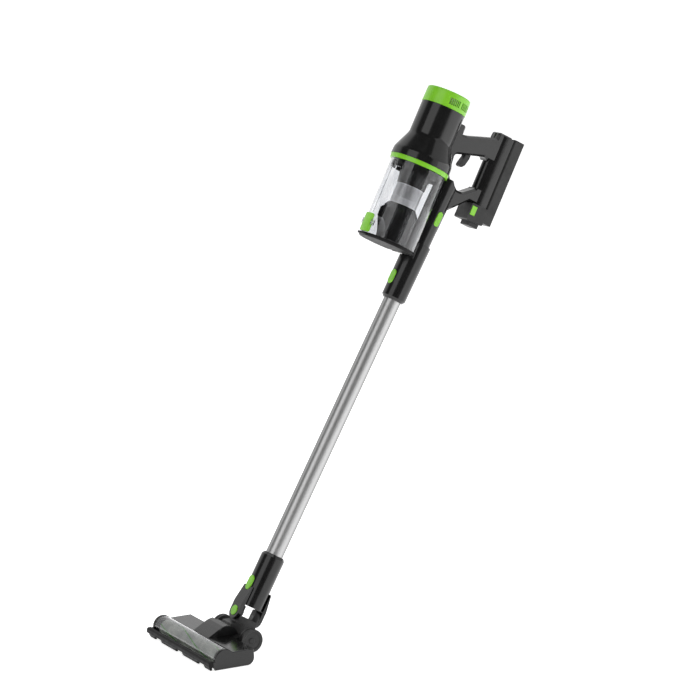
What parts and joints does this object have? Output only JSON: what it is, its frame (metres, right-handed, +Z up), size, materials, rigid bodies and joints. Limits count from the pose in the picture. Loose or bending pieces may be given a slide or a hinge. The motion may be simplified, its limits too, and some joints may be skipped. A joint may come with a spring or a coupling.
{
  "type": "cordless stick vacuum",
  "caption": "Cordless stick vacuum with clear dust cup, aluminium wand and hinged brush head, standing with its stick leaning back.",
  "frame": {"origin": "on the floor under the middle of the object's box", "axes": "+Z up, -Y the front of the floor head, +Y the battery, X across the head"},
  "size_m": [0.244, 0.7066, 0.9761],
  "materials": {
    "dark_plastic": "glossy dark grey moulded plastic",
    "matte_plastic": "fine matte texture",
    "green_plastic": "glossy lime green",
    "clear_plastic": "clear moulded plastic",
    "tube_metal": "satin anodised",
    "screen_metal": "perforated sheet",
    "steel": "plain",
    "rubber": "matte",
    "foam": "open foam",
    "paper": "pleated filter paper",
    "pile": "soft pile with green stripes",
    "board": "printed circuit board",
    "brass": "plain",
    "cell": "shrink sleeve"
  },
  "bodies": {
    "handheld": {"motor_housing": "dark_plastic", "motor_can": "steel", "motor_mount": "rubber", "handle_left": "dark_plastic", "handle_right": "dark_plastic", "handle_screws": "steel", "inlet_duct": "dark_plastic", "trigger_pin": "steel", "trigger_spring": "steel", "control_board": "board", "battery_terminals": "brass"},
    "exhaust": {"exhaust_cap": "green_plastic", "hepa_filter": "paper"},
    "fan": {"impeller": "matte_plastic", "rotor": "steel"},
    "trigger": {"trigger": "matte_plastic"},
    "cup_button": {"cup_button": "green_plastic"},
    "battery": {"battery_case": "matte_plastic", "battery_cells": "cell", "battery_board": "board"},
    "battery_button_left": {"battery_button_left": "green_plastic"},
    "battery_button_right": {"battery_button_right": "green_plastic"},
    "dust_cup": {"cup_shell": "clear_plastic", "cup_ring": "green_plastic", "cyclone_shroud": "dark_plastic", "mesh_screen": "screen_metal", "intake_body": "dark_plastic", "pre_filter": "foam", "cup_pins": "steel"},
    "lid": {"lid": "dark_plastic", "lid_seal": "rubber"},
    "latch": {"latch": "green_plastic"},
    "wand": {"wand_tube": "tube_metal", "upper_connector": "dark_plastic", "upper_button_spring": "steel"},
    "upper_button": {"upper_button": "green_plastic"},
    "neck": {"neck_connector": "dark_plastic", "roll_pins": "steel", "pivot_cap": "green_plastic", "lower_button_spring": "steel"},
    "lower_button": {"lower_button": "green_plastic"},
    "elbow": {"elbow": "matte_plastic"},
    "head": {"head_base": "dark_plastic", "head_top_cover": "dark_plastic", "pivot_hood": "dark_plastic", "brush_window": "clear_plastic", "side_cap_left": "dark_plastic", "side_cap_right": "dark_plastic", "front_bumper": "dark_plastic", "sole_skid": "rubber", "head_pins": "steel", "brush_motor": "steel", "drive_belt": "rubber", "brush_bearings": "brass", "sole_screws": "steel"},
    "brush": {"brush_core": "dark_plastic", "brush_pile": "pile"},
    "motor_shaft": {"motor_pulley": "steel"},
    "wheel_left": {"rear_wheel_left": "matte_plastic"},
    "wheel_right": {"rear_wheel_right": "matte_plastic"}
  },
  "joints": [
    {"name": "wand_release", "type": "slide", "parent": "handheld", "child": "wand", "axis": [0, -0.4856, -0.8742], "range_m": [0, 0.06]},
    {"name": "upper_button_press", "type": "slide", "parent": "wand", "child": "upper_button", "axis": [0, 0.8742, -0.4856], "range_m": [0, 0.0015], "stiffness_N_per_m": 300, "springref_m": -0.002, "deforming": ["upper_button_spring"]},
    {"name": "neck_release", "type": "slide", "parent": "wand", "child": "neck", "axis": [0, -0.4856, -0.8742], "range_m": [0, 0.06]},
    {"name": "lower_button_press", "type": "slide", "parent": "neck", "child": "lower_button", "axis": [0, 0.8742, -0.4856], "range_m": [0, 0.0015], "stiffness_N_per_m": 300, "springref_m": -0.002, "deforming": ["lower_button_spring"]},
    {"name": "steer", "type": "hinge", "parent": "neck", "child": "elbow", "pos_m": [0, -0.21566, 0.05126], "axis": [0, 0.8742, -0.4856], "range_deg": [-40, 40]},
    {"name": "pitch", "type": "hinge", "parent": "elbow", "child": "head", "pos_m": [0, -0.2683, 0.024], "axis": [1, 0, 0], "range_deg": [-29, 18]},
    {"name": "brush_spin", "type": "hinge", "parent": "head", "child": "brush", "pos_m": [0, -0.3223, 0.017], "axis": [1, 0, 0], "continuous": true},
    {"name": "motor_spin", "type": "hinge", "parent": "head", "child": "motor_shaft", "pos_m": [0, -0.2888, 0.0155], "axis": [1, 0, 0], "continuous": true},
    {"name": "wheel_left_roll", "type": "hinge", "parent": "head", "child": "wheel_left", "pos_m": [0, -0.2346, 0.021], "axis": [1, 0, 0], "continuous": true},
    {"name": "wheel_right_roll", "type": "hinge", "parent": "head", "child": "wheel_right", "pos_m": [0, -0.2346, 0.021], "axis": [1, 0, 0], "continuous": true},
    {"name": "trigger_pull", "type": "hinge", "parent": "handheld", "child": "trigger", "pos_m": [0, 0.24468, 0.85249], "axis": [1, 0, 0], "range_deg": [0, 9], "stiffness_Nm_per_rad": 0.6, "springref_deg": -5.73, "deforming": ["trigger_spring"]},
    {"name": "cup_button_press", "type": "slide", "parent": "handheld", "child": "cup_button", "axis": [-1, 0, 0], "range_m": [0, 0.001], "stiffness_N_per_m": 300, "springref_m": -0.002},
    {"name": "cup_release", "type": "slide", "parent": "handheld", "child": "dust_cup", "axis": [0, -0.8945, 0.447], "range_m": [0, 0.08]},
    {"name": "lid_open", "type": "hinge", "parent": "dust_cup", "child": "lid", "pos_m": [0, 0.10331, 0.68143], "axis": [1, 0, 0], "range_deg": [0, 70]},
    {"name": "latch_rock", "type": "hinge", "parent": "dust_cup", "child": "latch", "pos_m": [0, 0.03398, 0.74089], "axis": [1, 0, 0], "range_deg": [-8, 0], "stiffness_Nm_per_rad": 0.5, "springref_deg": 5.73},
    {"name": "cap_twist", "type": "hinge", "parent": "handheld", "child": "exhaust", "pos_m": [0, 0.20395, 0.95891], "axis": [0, 0.447, 0.8945], "range_deg": [0, 25]},
    {"name": "fan_spin", "type": "hinge", "parent": "handheld", "child": "fan", "pos_m": [0, 0.17669, 0.90434], "axis": [0, 0.447, 0.8945], "continuous": true},
    {"name": "battery_release", "type": "slide", "parent": "handheld", "child": "battery", "axis": [0, -0.447, -0.8945], "range_m": [0, 0.1]},
    {"name": "battery_button_left_press", "type": "slide", "parent": "battery", "child": "battery_button_left", "axis": [1, 0, 0], "range_m": [0, 0.0015], "stiffness_N_per_m": 300, "springref_m": -0.002},
    {"name": "battery_button_right_press", "type": "slide", "parent": "battery", "child": "battery_button_right", "axis": [-1, 0, 0], "range_m": [0, 0.0015], "stiffness_N_per_m": 300, "springref_m": -0.002}
  ],
  "couplings": [
    {"joint": "motor_spin", "follows": "brush_spin", "ratio": 2}
  ]
}
